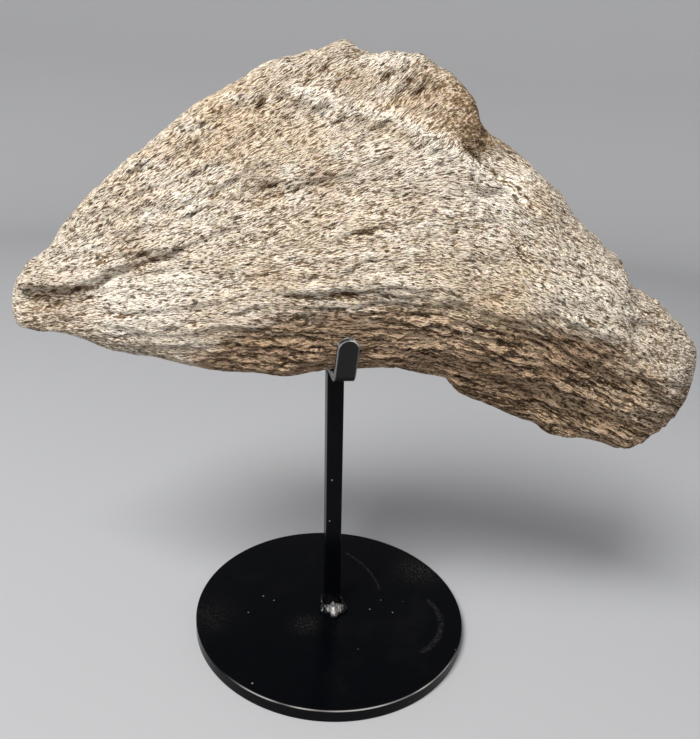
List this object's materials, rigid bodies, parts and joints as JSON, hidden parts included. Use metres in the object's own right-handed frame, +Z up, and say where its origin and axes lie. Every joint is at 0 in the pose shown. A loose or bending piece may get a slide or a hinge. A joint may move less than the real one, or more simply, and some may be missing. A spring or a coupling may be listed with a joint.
{
  "type": "mounted fossil bone fragment",
  "caption": "Wedge-shaped fragment of a triceratops skull, a coarse-grained fossil bone resting in a steel cradle on a slim square post with a round base plate.",
  "frame": {"origin": "middle of the underside of the round base plate", "axes": "+X to the right along the fragment, +Y to the back, away from the face that is shown, +Z up"},
  "size_m": [0.3177, 0.14, 0.2818],
  "materials": {
    "fossil_bone": "matte",
    "black_paint": "gloss",
    "bare_weld": "satin"
  },
  "bodies": {
    "root": {"skull_fragment": "fossil_bone", "base_plate": "black_paint", "post": "black_paint", "cradle": "black_paint", "weld_bead": "bare_weld"}
  },
  "joints": []
}
